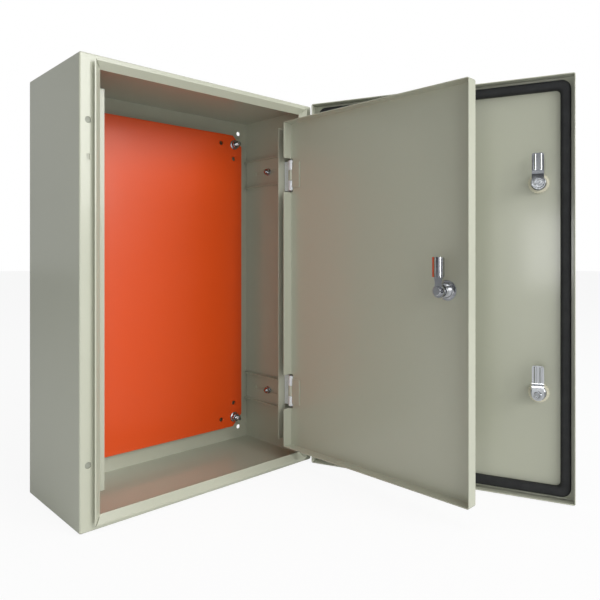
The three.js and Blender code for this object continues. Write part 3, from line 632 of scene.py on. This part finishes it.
# ------------------------------------------------------------------ floor, light, camera
def floor():
    bm = bmesh.new()
    s = 14.0
    vs = [bm.verts.new(p) for p in ((-s, -s, 0), (s, -s, 0), (s, s, 0), (-s, s, 0))]
    bm.faces.new(vs)
    me = bpy.data.meshes.new("floor")
    bm.to_mesh(me)
    bm.free()
    o = bpy.data.objects.new("floor", me)
    o.location = (0, 0, -0.3012)
    bpy.context.scene.collection.objects.link(o)
    m = bpy.data.materials.new("floor_matt")
    m.use_nodes = True
    b = m.node_tree.nodes["Principled BSDF"]
    b.inputs["Base Color"].default_value = (0.86, 0.86, 0.86, 1)
    b.inputs["Roughness"].default_value = 0.9
    # seen directly the floor runs out to the white of the backdrop, with a soft shadow left in it
    t = m.node_tree
    glow = t.nodes.new("ShaderNodeEmission")
    glow.inputs["Strength"].default_value = 1.01
    ray = t.nodes.new("ShaderNodeLightPath")
    amount = t.nodes.new("ShaderNodeMath")
    amount.operation = "MULTIPLY"
    amount.inputs[1].default_value = 0.9
    both = t.nodes.new("ShaderNodeMixShader")
    t.links.new(ray.outputs["Is Camera Ray"], amount.inputs[0])
    t.links.new(amount.outputs[0], both.inputs[0])
    t.links.new(b.outputs[0], both.inputs[1])
    t.links.new(glow.outputs[0], both.inputs[2])
    t.links.new(both.outputs[0], t.nodes["Material Output"].inputs["Surface"])
    me.materials.append(m)


floor()

world = bpy.data.worlds.new("studio")
bpy.context.scene.world = world
world.use_nodes = True
wt = world.node_tree
bg = wt.nodes["Background"]
bg.inputs["Color"].default_value = (0.96, 0.98, 1.0, 1)
bg.inputs["Strength"].default_value = 0.26
# the backdrop is plain white to the camera, and dimmer as a light
back = wt.nodes.new("ShaderNodeBackground")
back.inputs["Color"].default_value = (1, 1, 1, 1)
back.inputs["Strength"].default_value = 1.0
path = wt.nodes.new("ShaderNodeLightPath")
mix = wt.nodes.new("ShaderNodeMixShader")
# reflections see a room with dark and bright patches, so that plated parts keep their contrast
coord = wt.nodes.new("ShaderNodeTexCoord")
patch = wt.nodes.new("ShaderNodeTexNoise")
patch.inputs["Scale"].default_value = 2.6
patch.inputs["Detail"].default_value = 1.0
steps = wt.nodes.new("ShaderNodeValToRGB")
steps.color_ramp.elements[0].position = 0.46
steps.color_ramp.elements[0].color = (0.03, 0.03, 0.035, 1)
steps.color_ramp.elements[1].position = 0.56
steps.color_ramp.elements[1].color = (0.75, 0.76, 0.78, 1)
room = wt.nodes.new("ShaderNodeBackground")
room.inputs["Strength"].default_value = 0.8
gloss = wt.nodes.new("ShaderNodeMixShader")
wt.links.new(coord.outputs["Generated"], patch.inputs["Vector"])
wt.links.new(patch.outputs["Fac"], steps.inputs["Fac"])
wt.links.new(steps.outputs["Color"], room.inputs["Color"])
wt.links.new(path.outputs["Is Glossy Ray"], gloss.inputs[0])
wt.links.new(bg.outputs[0], gloss.inputs[1])
wt.links.new(room.outputs[0], gloss.inputs[2])
wt.links.new(path.outputs["Is Camera Ray"], mix.inputs[0])
wt.links.new(gloss.outputs[0], mix.inputs[1])
wt.links.new(back.outputs[0], mix.inputs[2])
wt.links.new(mix.outputs[0], wt.nodes["World Output"].inputs["Surface"])


def area(name, loc, target, size, power, colour=(1, 1, 1)):
    d = bpy.data.lights.new(name, "AREA")
    d.shape = "RECTANGLE"
    d.size, d.size_y = size
    d.energy = power
    d.color = colour
    o = bpy.data.objects.new(name, d)
    o.location = loc
    o.rotation_euler = (Vector(target) - Vector(loc)).to_track_quat("-Z", "Y").to_euler()
    bpy.context.scene.collection.objects.link(o)


area("key", (0.85, -4.3, 1.6), (0.05, -0.2, 0.0), (2.4, 2.4), 108)
area("fill", (-2.29, -1.51, 0.09), (0.336, -0.54, 0.05), (0.4, 0.42), 5.5)
area("front", (-1.0, -3.6, 1.0), (0.0, -0.25, 0.0), (1.8, 1.8), 26)
area("top", (0.2, -1.0, 2.4), (0.1, -0.5, 0.0), (2.2, 2.2), 24)

cam_data = bpy.data.cameras.new("camera")
cam_data.lens = 35.03
cam_data.sensor_width = 36.0
cam_data.shift_y = -0.0723
camera = bpy.data.objects.new("camera", cam_data)
camera.location = (-0.4956, -0.8906, 0.0448)
camera.rotation_euler = (math.radians(90), 0, math.radians(-43.23))
bpy.context.scene.collection.objects.link(camera)
bpy.context.scene.camera = camera
scene = bpy.context.scene
scene.view_settings.view_transform = "Standard"
